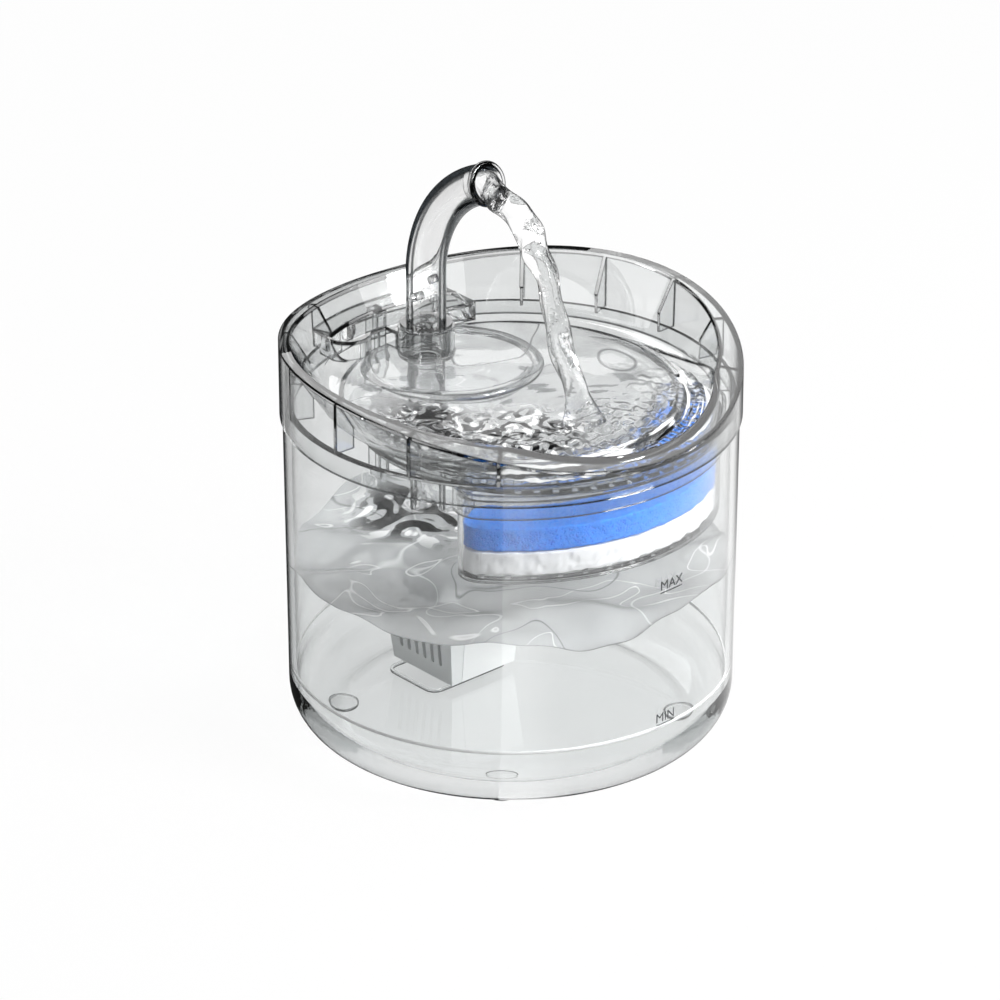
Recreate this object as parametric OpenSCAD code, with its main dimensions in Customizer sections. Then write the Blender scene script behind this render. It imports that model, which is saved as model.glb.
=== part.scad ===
// Pet drinking fountain with a gooseneck spout and a crescent filter
//
// A clear tank carries a lift-off drinking tray. Water goes up from the pump through the
// connector tube and the spout, falls into the bowl, runs over the front weir into the
// crescent channel and drains through the filter case back into the tank.
// Origin on the table at the tank's centre, +Z up, the low drinking edge faces -Y.

/* [Tank] */
// Outer diameter of the tray skirt, the widest part
tray_d = 180; // [178:1:184]
// Height of the tank's open edge above the table
tank_top = 142; // [140:1:146]
// Wall thickness of the tank
tank_wall = 2.2; // [1.8:0.1:2.6]
// Outer radius between the wall and the base
base_round = 18; // [14:1:20]
// Height of the moulded low-water line
low_level = 28.5; // [27:0.5:40]
// Thickness of the tank's floor
floor_t = 2.5; // [2:0.5:3]

/* [Drinking tray] */
// Wall thickness of the tray
tray_wall = 2; // [1.6:0.1:2.2]
// How far the skirt reaches down over the tank
skirt_lap = 8; // [7:0.5:10]
// Highest point of the arched rim above the tank's edge
rim_rise = 24; // [22:1:28]
// Radius of the rim's arch, seen from the side
rim_arch_r = 330; // [300:5:380]
// Radius of the drinking bowl
bowl_r = 65; // [62:0.5:65]
// Depth of the drinking bowl
bowl_depth = 5; // [4:0.5:6]
// Slope of the funnel wall above the bowl
funnel_angle = 59; // [59:0.5:62]
// Number of stiffening ribs around a full turn
rib_count = 16; // [12:2:20]
// Number of drain slots in the overflow channel
slot_count = 21; // [11:2:25]
// Width of one drain slot
slot_w = 2.8; // [2:0.1:3.2]

/* [Spout] */
// Outer diameter of the gooseneck
spout_d = 16; // [15.6:0.1:16.2]
// Bore of the gooseneck
spout_bore = 12; // [11:0.5:12.5]
// Height at which the gooseneck starts to bend
bend_z = 174; // [170:1:185]
// Radius of the bend's centre line
bend_r = 52; // [46:1:56]
// Angle of the bend
bend_angle = 72; // [65:1:90]

/* [Filter] */
// Half of the angle that the crescent case spans
filter_half_angle = 58; // [50:1:60]
// Outer radius of the filter case
filter_r_out = 81.5; // [79:0.5:81.5]
// Inner radius of the filter case
filter_r_in = 56; // [52:0.5:60]
// Height of the case's lower edge above the table
filter_z = 99; // [96:1:104]
// Thickness of the cotton pad
cotton_t = 10; // [7:0.5:12]
// Thickness of the sponge that lies on the cotton pad
sponge_t = 10; // [7:0.5:11]

/* [Pump] */
// Length of the pump along Y
pump_len = 42; // [41:0.5:44]
// Height of the pump's top above the table
pump_top = 39; // [38.5:0.5:40]
// Number of intake slots in the front cover
intake_slots = 6; // [4:1:7]
// Number of impeller blades
blade_count = 6; // [3:1:8]

/* [Hidden] */
$fn = 96;

gap = 0.3;                          // clearance between parts that come apart
over = 1;                           // overshoot of cutting shapes
seam = 0.02;                        // keeps a corner's arc just inside the arcs it joins

// Tank
tray_r = tray_d / 2;
skirt_in_r = tray_r - tray_wall;
foot_h = 1.5;                       // the base stands this high on its pads
floor_z = foot_h + floor_t;
skirt_z = tank_top - skirt_lap;
neck_r = skirt_in_r - 0.4;          // the tray skirt slips over the neck
tank_in_r = neck_r - tank_wall;
body_top_r = tray_r - 1.1;
body_low_r = tray_r - 1.7;
cove_r = base_round + 2;            // thicker corner inside the base
level_step = 0.5;
foot_d = 13;
foot_place_r = 67.5;

// Cable exit
cable_angle = 97;
cable_w = 7;

// Tray
ledge_z = tank_top;
bowl_z = ledge_z - bowl_depth;
bowl_round = 5;
funnel_foot_r = bowl_r + 3;
funnel_round = 7;
rim_crown_y = 28;
rim_crown_z = tank_top + rim_rise;
rim_axis_z = rim_crown_z - rim_arch_r;
lip_wall = 2.2;
rib_t = 1.2;
rib_in_r = tray_r - 10.5;
rib_skip = 40;                      // no ribs this close to the low front edge
channel_shift = 15;                 // the channel's outer circle sits this far forward
channel_r = 68;
channel_z = bowl_z + 1;
weir_r = bowl_r + 2.2;
weir_drop = 1.2;
slot_step = 5;
slot_margin = 1.2;
deck_z = ledge_z + 8;
island_y = 35;
island_r = 34;
lip_r = 3.2;
lip_sink = 1.2;
lip_drop = 1.7;                     // the cut that ends the lip, at the island's centre
lip_fall = 6.9;
lip_turn = 20;

// Spout
spout_y = 50;
collar_r = 11.3;
collar_top = ledge_z + 11;
socket_r = 9.75;
socket_z = ledge_z - 2.5;
bush_r = socket_r - gap;
journal_r = spout_d / 2 + 0.05;
spout_z = socket_z + 2.1;
outlet_lip = 1;
outlet_t = 2.6;
peg_r = 1.7;

// Connector tube
tube_r = 7.15;
tube_bore_r = 5.3;
nipple_len = 8;
tube_top = ledge_z - 8;
outlet_shoulder_z = pump_top + 2;

// Filter
filter_top = bowl_z - tray_wall - 1.5;
filter_wall = 1.6;
filter_corner = min(10, (filter_r_out - filter_r_in) / 2 - 1.5);
grid_t = 1.6;
grid_z = filter_z + 1;
cotton_z = grid_z + grid_t;
sponge_z = cotton_z + cotton_t;
frame_z = filter_top - 7;
frame_wall = 1.5;

// Pump: the motor axis runs along X
pump_y0 = 20.5;
pump_y1 = pump_y0 + pump_len;
pump_z = floor_z + 3;
pump_rear_x = 25.5;
pump_front_x = -5.2;
pump_taper = 3;
axis_y = 42;
axis_z = 22;
chamber_r = 11;
chamber_x0 = -3.6;
chamber_x1 = 3.5;
plate_r = 13.4;
well_r = 6.3;
well_x = 15.6;
cup_r = 7.5;
cup_x = 17.6;
shaft_r = 1;
magnet_r = 5.5;
stem_r = 2.2;
bush_out_r = 2.5;
outlet_r = 4.9;
outlet_bore_r = 3.25;
outlet_top = pump_top + 13;
cavity_x = 5.5;
potting_x = 19.6;
cover_top_x = -14;
cover_foot_x = -10.6;
cover_wall = 1.6;
gland_z = 29;
gland_x = 11;
cup_h = 3;

// ---------------------------------------------------------------- shared outlines

// Rectangle from one corner to the other with rounded corners
module round_rect(x0, y0, x1, y1, r) {
    translate([x0 + r, y0])
        square([x1 - x0 - 2 * r, y1 - y0]);
    translate([x0, y0 + r])
        square([x1 - x0, y1 - y0 - 2 * r]);
    for (x = [x0 + r, x1 - r], y = [y0 + r, y1 - r])
        translate([x, y])
            circle(r = r);
}

module ring(r_in, r_out) {
    difference() {
        circle(r = r_out);
        circle(r = r_in);
    }
}

// Wedge with its point at the origin, opening to the front
module front_wedge(half) {
    reach = 260;
    polygon([[0, 0], [-reach * sin(half), -reach * cos(half)],
        [reach * sin(half), -reach * cos(half)]]);
}

// Crescent outline about the front: part of a ring with rounded corners
module crescent(r_in, r_out, half, corner) {
    turn_in = asin(corner / (r_in + corner));
    turn_out = asin(corner / (r_out - corner));
    mid = (r_in + r_out) / 2;
    intersection() {
        ring(r_in, mid + over);
        front_wedge(half - turn_in);
    }
    intersection() {
        ring(mid - over, r_out);
        front_wedge(half - turn_out);
    }
    intersection() {
        ring(sqrt(pow(r_in + corner, 2) - corner * corner),
            sqrt(pow(r_out - corner, 2) - corner * corner));
        front_wedge(half);
    }
    for (side = [-1, 1]) {
        rotate(side * (half - turn_in))
            translate([0, -r_in - corner])
                circle(r = corner - seam);
        rotate(side * (half - turn_out))
            translate([0, -r_out + corner])
                circle(r = corner - seam);
    }
}

// Filter crescent, moved inwards by t on every side
module filter_outline(t) {
    mid = (filter_r_in + filter_r_out) / 2;
    crescent(filter_r_in + t, filter_r_out - t, filter_half_angle - asin(t / mid),
        filter_corner - t);
}

// Turns a shape drawn along Z so that it runs along X from x0 on the motor axis
module on_motor_axis(x0) {
    translate([x0, axis_y, axis_z])
        rotate([0, 90, 0])
            children();
}

// ---------------------------------------------------------------- tank

module tank_section() {
    corner_z = foot_h + base_round;
    difference() {
        union() {
            translate([0, foot_h])
                square([body_low_r - base_round, base_round]);
            translate([body_low_r - base_round, corner_z])
                circle(r = base_round);
            polygon([[0, corner_z], [body_low_r, corner_z], [body_top_r, skirt_z - gap],
                [neck_r, skirt_z - gap], [neck_r, tank_top - 0.6], [neck_r - 0.6, tank_top],
                [0, tank_top]]);
        }
        tank_space();
    }
}

// Inside of the tank, with the small step of the low-water line
module tank_space() {
    low_r = tank_in_r - level_step;
    translate([0, floor_z])
        square([low_r - cove_r, cove_r]);
    translate([low_r - cove_r, floor_z + cove_r])
        circle(r = cove_r);
    translate([0, floor_z + cove_r])
        square([low_r, low_level - floor_z - cove_r + over]);
    translate([0, low_level])
        square([tank_in_r, tank_top]);
}

// Slot for the cable: open at the top or at the bottom, round at the other end
module cable_slot(z, up) {
    rotate(cable_angle)
        translate([tray_r - 8, 0, z])
            rotate([90, 0, 90])
                linear_extrude(12) {
                    circle(d = cable_w);
                    translate([-cable_w / 2, up ? 0 : -20])
                        square([cable_w, 20]);
                }
}

module tank() {
    color([0.82, 0.88, 0.9, 0.35]) {
        difference() {
            rotate_extrude()
                tank_section();
            for (a = [45:90:315])
                rotate(a)
                    translate([foot_place_r, 0, foot_h - over])
                        cylinder(d = foot_d, h = over + 1.1);
            cable_slot(tank_top - 2.5, true);
        }
        // Raised frame on the floor that shows where the pump stands
        translate([0, 0, floor_z - 0.4])
            linear_extrude(1.4)
                difference() {
                    round_rect(-17.4, 27, 23.5, 57, 5);
                    round_rect(-16.2, 28.2, 22.3, 55.8, 3.8);
                }
    }
}

module foot_pads() {
    color([0.75, 0.8, 0.82, 0.6])
        for (a = [45:90:315])
            rotate(a)
                translate([foot_place_r, 0, 0])
                    rotate_extrude() {
                        square([foot_d / 2 - 1, foot_h + 1]);
                        translate([0, 1])
                            square([foot_d / 2, foot_h]);
                        translate([foot_d / 2 - 1, 1])
                            circle(r = 1);
                    }
}

// ---------------------------------------------------------------- drinking tray

// Half section of the space above the tray, grown by t
module dish_section(t) {
    c = [funnel_foot_r, ledge_z + funnel_round];
    edge = c + (funnel_round + t) * [sin(funnel_angle), -cos(funnel_angle)];
    far = edge + 40 * [cos(funnel_angle), sin(funnel_angle)];
    translate(c)
        circle(r = funnel_round + t);
    translate([0, ledge_z - t])
        square([c[0], funnel_round + t]);
    polygon([[0, c[1]], c, edge, far, [0, far[1]]]);
    // Bowl with a round corner and a slight fall to the middle
    translate([bowl_r - bowl_round, bowl_z + bowl_round])
        square([bowl_round + t, bowl_depth]);
    translate([bowl_r - bowl_round, bowl_z + bowl_round])
        circle(r = bowl_round + t);
    translate([0, bowl_z - t])
        square([bowl_r - bowl_round, bowl_depth + t]);
    polygon([[0, bowl_z - t - 0.8], [bowl_r - bowl_round, bowl_z - t], [0, bowl_z - t]]);
}

// Crescent channel in front of the bowl, grown by t
module channel_outline(t) {
    translate([0, -channel_shift])
        circle(r = channel_r + t);
}

// Everything above z0 and under the arched rim, lowered by drop
module under_rim(r, drop, z0) {
    intersection() {
        translate([0, 0, z0])
            cylinder(r = r, h = rim_crown_z - z0 + over);
        translate([0, rim_crown_y, rim_axis_z])
            rotate([0, 90, 0])
                cylinder(r = rim_arch_r - drop, h = 2 * tray_d, center = true, $fn = 360);
    }
}

// Space below the tray's walls
module tray_hollow(t) {
    difference() {
        under_rim(skirt_in_r, lip_wall, skirt_z - 6);
        rotate_extrude()
            dish_section(t);
        translate([0, 0, channel_z - t])
            linear_extrude(60)
                channel_outline(t);
    }
}

// Skirt, arched lip, funnel, bowl and crescent channel in one wall
module tray_shell() {
    difference() {
        under_rim(tray_r, 0, skirt_z);
        tray_hollow(tray_wall);
        rotate_extrude()
            dish_section(0);
        translate([0, 0, channel_z])
            linear_extrude(60)
                difference() {
                    channel_outline(0);
                    circle(r = weir_r);
                }
    }
}

// Plan of the raised deck behind the spout, moved inwards by t
module deck_outline(t) {
    translate([-24, 64 + t])
        square([40, 30]);
    polygon([[8, 64 + t], [34 - t, 59 + t], [34 - t, 94], [8, 94]]);
    translate([-24, 70])
        circle(r = 9.5 - t);
    translate([-33.5 + t, 70])
        square([20, 24]);
    translate([-9 + t, spout_y])
        square([19 - 2 * t, 20]);
}

module deck(t, z0, z1, r) {
    intersection() {
        translate([0, 0, z0])
            linear_extrude(z1 - z0)
                deck_outline(t);
        union() {
            translate([0, 0, z0 - over])
                cylinder(r = tank_in_r - 2 * gap, h = ledge_z + 2 * gap - z0 + 2 * over);
            // Above the tank's edge the deck reaches out to the skirt
            translate([0, 0, ledge_z + 2 * gap])
                cylinder(r = r, h = deck_z);
        }
    }
}

// Raised foot of the spout inside the bowl
module island(t, z0, z1) {
    intersection() {
        translate([0, island_y, z0])
            cylinder(r = island_r - t, h = z1 - z0);
        translate([0, 0, z0 - over])
            cylinder(r = weir_r - t, h = 60);
    }
}

// Rounded lip around the front of the spout's foot; it runs out into the top on both sides
module island_lip() {
    intersection() {
        translate([0, island_y, ledge_z - lip_sink])
            rotate_extrude()
                translate([island_r - 0.8, 0])
                    circle(r = lip_r, $fn = 48);
        translate([0, island_y, ledge_z - lip_drop])
            rotate([0, 0, -lip_turn])
                rotate([-lip_fall, 0, 0])
                    translate([-tray_r, -tray_r, -20])
                        cube([2 * tray_r, 2 * tray_r, 20]);
    }
}

// Gussets between the skirt and the funnel; they stand on the tank's edge
module tray_ribs() {
    intersection() {
        for (i = [0:rib_count - 1]) {
            a = -90 + i * 360 / rib_count;
            if (abs(a + 90) > rib_skip && abs(a - 270) > rib_skip && abs(a - 90) > 2)
                rotate(a)
                    translate([rib_in_r, -rib_t / 2, ledge_z + gap])
                        cube([tray_r - rib_in_r - tray_wall / 2, rib_t, 40]);
        }
        difference() {
            under_rim(tray_r, lip_wall / 2, skirt_z);
            rotate_extrude()
                dish_section(tray_wall / 2);
        }
    }
}

// Wall under the tray that grips the top of the filter case
module filter_frame() {
    translate([0, 0, frame_z])
        linear_extrude(bowl_z - frame_z - 0.5)
            difference() {
                filter_outline(-gap - frame_wall);
                filter_outline(-gap);
            }
}

module collar() {
    translate([0, spout_y, ledge_z - 5])
        cylinder(r = collar_r, h = collar_top - ledge_z + 5);
    translate([0, spout_y, tube_top])
        cylinder(r = tube_r, h = 6);
    translate([0, spout_y, tube_top - nipple_len])
        cylinder(r = tube_bore_r, h = 12);
}

// Open channel down the back wall that holds the pump's cable
module cable_guide() {
    difference() {
        translate([-2.5, 77, 70])
            cube([5, 7.2, deck_z - 71]);
        translate([-1.6, 78, 69])
            cube([3.2, 8, deck_z - 73]);
    }
}

module drain_slots() {
    translate([0, 0, channel_z - tray_wall - over])
        linear_extrude(tray_wall + 2 * over)
            intersection() {
                for (i = [0:slot_count - 1])
                    rotate((i - (slot_count - 1) / 2) * slot_step)
                        translate([-slot_w / 2, -tray_r])
                            square([slot_w, 30]);
                difference() {
                    channel_outline(-slot_margin - 0.4);
                    circle(r = weir_r + slot_margin);
                }
            }
}

module drinking_tray() {
    color([0.84, 0.9, 0.92, 0.35])
        difference() {
            union() {
                difference() {
                    union() {
                        tray_shell();
                        island(0, bowl_z - tray_wall, ledge_z);
                        island_lip();
                        deck(0, ledge_z - tray_wall, deck_z, tray_r - 1);
                    }
                    island(tray_wall, bowl_z - 20, ledge_z - tray_wall);
                    deck(tray_wall, bowl_z - 20, deck_z - tray_wall, skirt_in_r);
                }
                tray_ribs();
                filter_frame();
                collar();
                cable_guide();
            }
            translate([0, spout_y, socket_z])
                cylinder(r = socket_r, h = 40);
            translate([0, spout_y, tube_top - 20])
                cylinder(d = 7.4, h = 40);
            drain_slots();
            translate([0, 0, ledge_z - weir_drop])
                linear_extrude(4)
                    intersection() {
                        ring(bowl_r - over, weir_r + over);
                        front_wedge(60);
                    }
            cable_slot(skirt_z + 5, false);
        }
}

// ---------------------------------------------------------------- tube and spout

module connector_tube() {
    color([0.8, 0.85, 0.87, 0.4])
        translate([0, spout_y, outlet_shoulder_z + gap])
            difference() {
                cylinder(r = tube_r, h = tube_top - outlet_shoulder_z - gap);
                translate([0, 0, -over])
                    cylinder(r = tube_bore_r, h = tube_top);
            }
}

module spout_bush() {
    color([0.6, 0.62, 0.64, 0.8])
        translate([0, spout_y, 0])
            difference() {
                union() {
                    translate([0, 0, socket_z + gap])
                        cylinder(r = bush_r, h = collar_top - socket_z);
                    translate([0, 0, collar_top + gap])
                        cylinder(r = bush_r + 1, h = 1.2);
                }
                translate([0, 0, spout_z - gap])
                    cylinder(r = journal_r, h = 40);
                translate([0, 0, socket_z])
                    cylinder(r = journal_r - 2, h = 40);
            }
}

// Rod along the gooseneck's centre line: post and bend
module gooseneck(r, z0) {
    translate([0, spout_y, z0])
        cylinder(r = r, h = bend_z - z0);
    translate([0, spout_y - bend_r, bend_z])
        rotate([90, 0, 90])
            rotate_extrude(angle = bend_angle)
                translate([bend_r, 0])
                    circle(r = r);
}

// Moves a shape drawn along Z to the end of the bend
module at_outlet() {
    translate([0, spout_y - bend_r, bend_z])
        rotate([bend_angle, 0, 0])
            translate([0, bend_r, 0])
                children();
}

module spout() {
    color([0.84, 0.9, 0.92, 0.4])
        difference() {
            union() {
                gooseneck(spout_d / 2, spout_z);
                // Thick rounded edge of the outlet
                at_outlet()
                    translate([0, 0, -outlet_t / 2])
                        rotate_extrude() {
                            square([spout_d / 2 + outlet_lip - outlet_t / 2, outlet_t]);
                            translate([spout_d / 2 + outlet_lip - outlet_t / 2, outlet_t / 2])
                                circle(r = outlet_t / 2, $fn = 32);
                        }
            }
            difference() {
                union() {
                    gooseneck(spout_bore / 2, spout_z - over);
                    at_outlet()
                        translate([0, 0, -outlet_t])
                            cylinder(r = spout_bore / 2 + 0.7, h = 12);
                }
                // Two pegs that steady the flow where the bend begins
                for (side = [-1, 1])
                    translate([side * (spout_bore / 2 + 0.8), spout_y, bend_z - 5 + side * 2.5])
                        rotate([0, -side * 90, 0])
                            cylinder(r = peg_r, h = 4.6, $fn = 32);
            }
        }
}

// ---------------------------------------------------------------- filter

module filter_case() {
    color([0.84, 0.9, 0.92, 0.4]) {
        translate([0, 0, grid_z])
            linear_extrude(filter_top - grid_z)
                difference() {
                    filter_outline(0);
                    filter_outline(filter_wall);
                }
        // Inner ledge that carries the grid
        translate([0, 0, filter_z])
            linear_extrude(grid_z - filter_z)
                difference() {
                    filter_outline(0);
                    filter_outline(filter_wall + 1.4);
                }
    }
}

module filter_grid() {
    rows = 15;
    step = 2 * (filter_half_angle - 8) / (rows - 1);
    color([0.7, 0.75, 0.78, 0.6])
        translate([0, 0, grid_z])
            linear_extrude(grid_t)
                difference() {
                    filter_outline(filter_wall);
                    for (i = [0:rows - 1], r = [filter_r_in + 4.5, filter_r_in + 14.5])
                        rotate((i - (rows - 1) / 2) * step)
                            translate([-1.2, -r - 7.5])
                                square([2.4, 7.5]);
                }
}

module cotton_pad() {
    color([0.97, 0.97, 0.96])
        translate([0, 0, cotton_z])
            linear_extrude(cotton_t)
                filter_outline(filter_wall + 0.15);
}

module filter_sponge() {
    color([0.15, 0.35, 0.85])
        translate([0, 0, sponge_z])
            linear_extrude(sponge_t)
                filter_outline(filter_wall + 0.15);
}

// ---------------------------------------------------------------- pump

// Block with a narrower foot, from x0 to x1, where the sides lean by the pump's taper
module pump_block(x0_foot, x0_top, x1_foot, x1_top, t) {
    intersection() {
        translate([0, pump_y1 + over, 0])
            rotate([90, 0, 0])
                linear_extrude(pump_len + 2 * over)
                    polygon([[x0_foot, pump_z + t], [x1_foot, pump_z + t],
                        [x1_top, pump_top - t], [x0_top, pump_top - t]]);
        rotate([90, 0, 90])
            translate([0, 0, -40])
                linear_extrude(80)
                    polygon([[pump_y0 + pump_taper + t, pump_z + t],
                        [pump_y1 - pump_taper - t, pump_z + t],
                        [pump_y1 - t, pump_top - t], [pump_y0 + t, pump_top - t]]);
    }
}

module pump_housing() {
    cavity_y0 = pump_y0 + 3.5;
    cavity_y1 = pump_y1 - 3.5;
    color([0.95, 0.95, 0.94])
        difference() {
            union() {
                pump_block(pump_front_x, pump_front_x, pump_rear_x - 2.5, pump_rear_x, 0);
                translate([0, spout_y, pump_top + gap])
                    cylinder(r = outlet_r + 1.4, h = outlet_shoulder_z - pump_top - gap);
                translate([0, spout_y, pump_top - over])
                    cylinder(r = outlet_r, h = outlet_top - pump_top + over);
            }
            on_motor_axis(chamber_x0 - over)
                cylinder(r = chamber_r, h = chamber_x1 - chamber_x0 + over);
            on_motor_axis(pump_front_x - over)
                cylinder(r = plate_r, h = chamber_x0 - pump_front_x + over);
            on_motor_axis(chamber_x0 - 0.5)
                difference() {
                    cylinder(r = chamber_r + 1.9, h = 1.5);
                    cylinder(r = chamber_r + 0.5, h = 1.5);
                }
            on_motor_axis(0)
                cylinder(r = well_r, h = well_x);
            on_motor_axis(0)
                cylinder(r = bush_out_r, h = well_x + 1);
            translate([0, spout_y, axis_z])
                cylinder(r = outlet_bore_r, h = outlet_top);
            // Motor space around the rotor's cup, open at the back for the potting
            difference() {
                translate([cavity_x, cavity_y0, pump_z + 2.5])
                    cube([40, cavity_y1 - cavity_y0, pump_top - pump_z - 5]);
                on_motor_axis(0)
                    cylinder(r = cup_r, h = cup_x);
            }
            translate([gland_x, cavity_y1 - over, gland_z])
                rotate([-90, 0, 0])
                    cylinder(r = 3, h = 10);
            cup_places()
                translate([0, 0, -over])
                    cylinder(r = 2, h = 1.8 + over);
        }
}

module volute_cover() {
    plate_t = chamber_x0 - pump_front_x;
    color([0.9, 0.9, 0.89])
        on_motor_axis(pump_front_x)
            difference() {
                cylinder(r = plate_r - 0.05, h = plate_t);
                translate([0, 0, -over])
                    difference() {
                        cylinder(r = 5.4, h = plate_t + 2 * over);
                        cylinder(r = 2.6, h = plate_t + 2 * over);
                        for (a = [0:120:240])
                            rotate(a)
                                translate([0, -0.8, 0])
                                    cube([10, 1.6, 10]);
                    }
                translate([0, 0, -over])
                    cylinder(r = 1.6, h = plate_t + 2 * over);
            }
}

module volute_seal() {
    color([0.12, 0.12, 0.12])
        on_motor_axis(chamber_x0 + 0.5)
            rotate_extrude()
                translate([chamber_r + 1.2, 0])
                    circle(r = 0.5, $fn = 32);
}

// Back plate, hub and swept blades on a stem that runs through the magnet
module impeller() {
    plate_z = 1.4;
    color([0.85, 0.85, 0.83])
        on_motor_axis(0)
            difference() {
                union() {
                    translate([0, 0, plate_z])
                        cylinder(r = 9.4, h = 1.4);
                    translate([0, 0, -2.8])
                        cylinder(r = 3, h = 6.8);
                    cylinder(r = stem_r, h = 14.2);
                    for (i = [0:blade_count - 1])
                        rotate(i * 360 / blade_count)
                            translate([0, 0, -2.6])
                                linear_extrude(plate_z + 2.8)
                                    impeller_blade();
                }
                translate([0, 0, -5])
                    cylinder(r = shaft_r + 0.05, h = 30);
            }
}

// One blade in plan: a thin arc from the hub to the plate's edge
module impeller_blade() {
    intersection() {
        translate([4.5, -9])
            ring(8.6, 9.6);
        ring(2.5, 9.2);
        translate([0, -5])
            square([10, 10]);
    }
}

module rotor_magnet() {
    color([0.25, 0.25, 0.27])
        on_motor_axis(4.2)
            difference() {
                cylinder(r = magnet_r, h = 9.8);
                translate([0, 0, -over])
                    cylinder(r = stem_r, h = 12);
            }
}

module impeller_shaft() {
    color([0.85, 0.86, 0.88])
        on_motor_axis(pump_front_x + 0.2)
            cylinder(r = shaft_r, h = well_x - pump_front_x + 0.5);
}

module front_bush() {
    color([0.9, 0.88, 0.84])
        on_motor_axis(pump_front_x + 0.1)
            difference() {
                cylinder(r = 1.6, h = 1.5);
                translate([0, 0, -over])
                    cylinder(r = shaft_r, h = 4);
            }
}

module rear_bush() {
    color([0.9, 0.88, 0.84])
        on_motor_axis(well_x - 1)
            difference() {
                cylinder(r = bush_out_r, h = 2);
                translate([0, 0, -over])
                    cylinder(r = shaft_r, h = 4);
            }
}

// Laminated core: the rotor hole on one side, the coil's limb on the other
module stator_core() {
    color([0.5, 0.5, 0.52])
        translate([6.2, 0, 0])
            rotate([90, 0, 90])
                linear_extrude(8.8)
                    difference() {
                        translate([31, 12])
                            square([26, 20]);
                        translate([axis_y, axis_z])
                            circle(r = cup_r + 0.2);
                        translate([50.4, 16])
                            square([3.6, 12]);
                    }
}

module stator_coil() {
    color([0.72, 0.42, 0.2])
        translate([0, 0, 16.2])
            linear_extrude(11.6)
                difference() {
                    translate([5.6, 50.5])
                        square([10.2, 7.9]);
                    translate([6, 53.8])
                        square([9.2, 3.4]);
                }
}

module potting_plug() {
    color([0.1, 0.1, 0.1])
        translate([potting_x, pump_y0 + 3.5, pump_z + 2.5])
            cube([2, pump_len - 7, pump_top - pump_z - 5]);
}

module cable_gland() {
    wall_y = pump_y1 - 3.5;
    color([0.2, 0.2, 0.2])
        translate([gland_x, wall_y, gland_z])
            rotate([-90, 0, 0])
                difference() {
                    union() {
                        cylinder(r = 3, h = 6.5);
                        translate([0, 0, 3.6])
                            cylinder(r1 = 4.4, r2 = 3.4, h = 4);
                    }
                    translate([0, 0, -over])
                        cylinder(r = 1.6, h = 12);
                }
}

module cup_places() {
    for (x = [1.5, 15], y = [35, 49])
        translate([x, y, pump_z])
            children();
}

module suction_cups() {
    color([0.77, 0.78, 0.79])
        cup_places()
            translate([0, 0, -cup_h])
                rotate_extrude() {
                    polygon([[0, 1.4], [3, 1.2], [5.4, 0], [6.2, 0], [4, 2.3], [2.6, cup_h],
                        [0, cup_h]]);
                    translate([0, cup_h - 0.5])
                        square([2, 2.1]);
                }
}

// Slotted intake cover, deeper at the top than at the foot
module pump_cover() {
    back_x = pump_front_x - gap;
    slot_pitch = 4.8;
    color([0.88, 0.88, 0.87])
        difference() {
            pump_block(cover_foot_x, cover_top_x, back_x, back_x, 0);
            pump_block(cover_foot_x + cover_wall, cover_top_x + cover_wall, 0, 0, cover_wall);
            for (i = [0:intake_slots - 1])
                translate([-30, (pump_y0 + pump_y1) / 2 + (i - (intake_slots - 1) / 2) * slot_pitch,
                    pump_z])
                    rotate([90, 0, 90])
                        linear_extrude(25 - cover_wall)
                            round_rect(-1, 7, 1, 25, 0.95);
        }
}

// ---------------------------------------------------------------- assembly

tank();
foot_pads();
drinking_tray();
connector_tube();
spout_bush();
spout();
filter_case();
filter_grid();
filter_sponge();
cotton_pad();
pump_housing();
volute_cover();
volute_seal();
impeller();
rotor_magnet();
impeller_shaft();
front_bush();
rear_bush();
stator_core();
stator_coil();
potting_plug();
cable_gland();
suction_cups();
pump_cover();
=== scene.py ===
import math

import bmesh
import bpy
import numpy as np
from mathutils import Matrix, Vector


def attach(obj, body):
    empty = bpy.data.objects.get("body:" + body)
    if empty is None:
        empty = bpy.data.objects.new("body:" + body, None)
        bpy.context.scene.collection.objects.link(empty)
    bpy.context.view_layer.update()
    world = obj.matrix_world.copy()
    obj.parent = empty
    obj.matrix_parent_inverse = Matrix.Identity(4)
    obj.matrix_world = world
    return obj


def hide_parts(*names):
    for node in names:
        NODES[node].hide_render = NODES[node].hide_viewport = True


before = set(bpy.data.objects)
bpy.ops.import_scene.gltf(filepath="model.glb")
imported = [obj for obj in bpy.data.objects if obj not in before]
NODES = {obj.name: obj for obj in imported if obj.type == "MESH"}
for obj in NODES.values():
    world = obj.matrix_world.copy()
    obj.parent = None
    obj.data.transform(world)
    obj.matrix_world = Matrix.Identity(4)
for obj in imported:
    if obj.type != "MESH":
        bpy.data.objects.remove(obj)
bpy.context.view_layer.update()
MM = 0.001

# ---------------------------------------------------------------- sizes of the fountain, mm

TANK_IN_R = 85.4
FLOOR_Z = 4.0
COVE_R = 20.0               # inside corner between the tank's floor and its wall
LOW_LINE_Z = 28.5           # step inside the wall, with a white bead along it: a painted highlight of the step
LOW_LINE_R = 85.15
LOW_STEP = 0.5
WALL_LOW, WALL_HIGH = (88.3, 19.5), (88.9, 133.7)     # outside of the tank's wall: radius, height
WATER_Z = 74.0
SKIN = 0.35                 # water reaches this far into the plastic that holds it

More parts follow.
